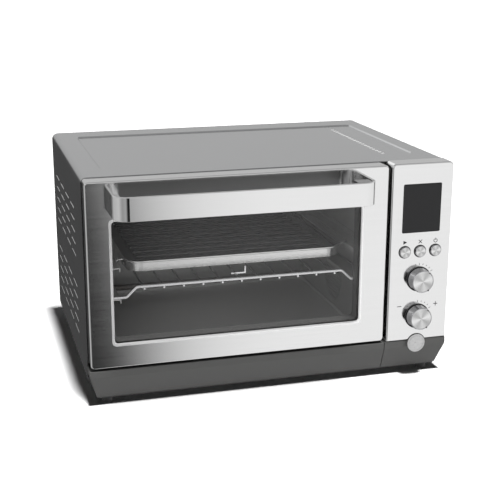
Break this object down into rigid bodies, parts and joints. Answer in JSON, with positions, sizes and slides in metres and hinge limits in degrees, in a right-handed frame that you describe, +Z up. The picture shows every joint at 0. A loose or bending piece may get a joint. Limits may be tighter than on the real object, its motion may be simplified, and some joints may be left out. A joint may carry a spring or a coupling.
{
  "type": "toaster oven",
  "caption": "Countertop toaster oven with a drop-down glass door, band handle, side control column, wire rack, bake pan and slide-out crumb tray.",
  "frame": {"origin": "centre of the object's box, on the surface that its feet stand on", "axes": "+Z up; the door and controls face -Y; +X to the right of someone facing the door"},
  "size_m": [0.48, 0.396, 0.29],
  "materials": {
    "cover_steel": "brushed, fine grain from front to back",
    "door_steel": "brushed, fine grain from side to side",
    "handle_steel": "brushed satin band",
    "polished_rim": "polished",
    "badge_metal": "fine satin disc",
    "control_metal": "spun face, bright skirt",
    "base_plastic": "matte, finely textured",
    "base_steel": "matte dark coating",
    "black_trim": "satin black",
    "door_glazing": "grey tint, polished",
    "display_glass": "smooth dark window",
    "cavity_metal": "satin grey coated steel",
    "frame_enamel": "satin dark grey",
    "zinc_steel": "plain zinc-coated sheet",
    "hardware_steel": "plain machined",
    "rack_chrome": "plated wire",
    "pan_metal": "satin bakeware",
    "insert_enamel": "satin black enamel",
    "tray_metal": "dull coated sheet",
    "heater_sheath": "heat-darkened sheath",
    "insulator_white": "matte ceramic",
    "seal_rubber": "matte",
    "foot_rubber": "matte",
    "board_green": "solder mask",
    "motor_steel": "satin"
  },
  "bodies": {
    "oven_body": {"outer_cover": "cover_steel", "rear_panel": "zinc_steel", "rear_screws": "hardware_steel", "cord_inlet": "black_trim", "base_pan": "base_steel", "feet": "foot_rubber", "front_frame": "frame_enamel", "cavity_left_wall": "cavity_metal", "cavity_right_wall": "cavity_metal", "cavity_ceiling": "cavity_metal", "cavity_back_wall": "cavity_metal", "temperature_probe": "hardware_steel", "rack_rail_left": "cavity_metal", "rack_rail_right": "cavity_metal", "upper_elements": "heater_sheath", "lower_elements": "heater_sheath", "element_insulators": "insulator_white", "fan_shroud": "zinc_steel", "fan_motor": "motor_steel", "hinge_arm_left": "zinc_steel", "hinge_arm_right": "zinc_steel", "control_fascia": "door_steel", "control_housing": "base_plastic", "badge_disc": "badge_metal", "display_lens": "display_glass", "display_module": "black_trim", "control_board": "board_green", "button_rings": "black_trim", "knob_rings": "black_trim", "knob_encoders": "black_trim", "power_board": "board_green"},
    "door": {"door_outer_panel": "door_steel", "window_bezel": "polished_rim", "door_glass": "door_glazing", "door_liner": "frame_enamel", "door_seal": "seal_rubber", "handle": "handle_steel", "handle_screws": "hardware_steel", "hinge_lugs": "zinc_steel", "hinge_pins": "hardware_steel", "hinge_spring": "hardware_steel"},
    "crumb_drawer": {"crumb_tray_front": "base_plastic", "crumb_tray": "tray_metal"},
    "rack": {"wire_rack": "rack_chrome"},
    "pan": {"bake_pan": "pan_metal", "broil_insert": "insert_enamel"},
    "fan": {"fan_shaft": "hardware_steel", "fan_blade": "zinc_steel"},
    "button_left": {"button_left": "control_metal"},
    "button_middle": {"button_middle": "control_metal"},
    "button_right": {"button_right": "control_metal"},
    "upper_knob": {"knob_upper": "control_metal", "knob_shaft_upper": "hardware_steel"},
    "lower_knob": {"knob_lower": "control_metal", "knob_shaft_lower": "hardware_steel"}
  },
  "joints": [
    {"name": "door_hinge", "type": "hinge", "parent": "oven_body", "child": "door", "pos_m": [-0.04425, -0.144, 0.058], "axis": [1, 0, 0], "range_deg": [0, 88], "stiffness_Nm_per_rad": 0.5, "springref_deg": -17.19},
    {"name": "crumb_tray_slide", "type": "slide", "parent": "oven_body", "child": "crumb_drawer", "axis": [0, -1, 0], "range_m": [0, 0.15]},
    {"name": "rack_slide", "type": "slide", "parent": "oven_body", "child": "rack", "axis": [0, -1, 0], "range_m": [0, 0.108]},
    {"name": "pan_slide", "type": "slide", "parent": "oven_body", "child": "pan", "axis": [0, -1, 0], "range_m": [0, 0.131]},
    {"name": "fan_spin", "type": "hinge", "parent": "oven_body", "child": "fan", "pos_m": [0.156, 0.021, 0.092], "axis": [1, 0, 0], "continuous": true},
    {"name": "button_left_press", "type": "slide", "parent": "oven_body", "child": "button_left", "axis": [0, 1, 0], "range_m": [0, 0.0015], "stiffness_N_per_m": 600},
    {"name": "button_middle_press", "type": "slide", "parent": "oven_body", "child": "button_middle", "axis": [0, 1, 0], "range_m": [0, 0.0015], "stiffness_N_per_m": 600},
    {"name": "button_right_press", "type": "slide", "parent": "oven_body", "child": "button_right", "axis": [0, 1, 0], "range_m": [0, 0.0015], "stiffness_N_per_m": 600},
    {"name": "upper_knob_turn", "type": "hinge", "parent": "oven_body", "child": "upper_knob", "pos_m": [0.1975, -0.16, 0.134], "axis": [0, -1, 0], "continuous": true},
    {"name": "lower_knob_turn", "type": "hinge", "parent": "oven_body", "child": "lower_knob", "pos_m": [0.1975, -0.16, 0.0825], "axis": [0, -1, 0], "continuous": true}
  ],
  "couplings": [
    {"joint": "rack_slide", "follows": "door_hinge", "m_per_rad": 0.07},
    {"joint": "pan_slide", "follows": "door_hinge", "m_per_rad": 0.085}
  ]
}
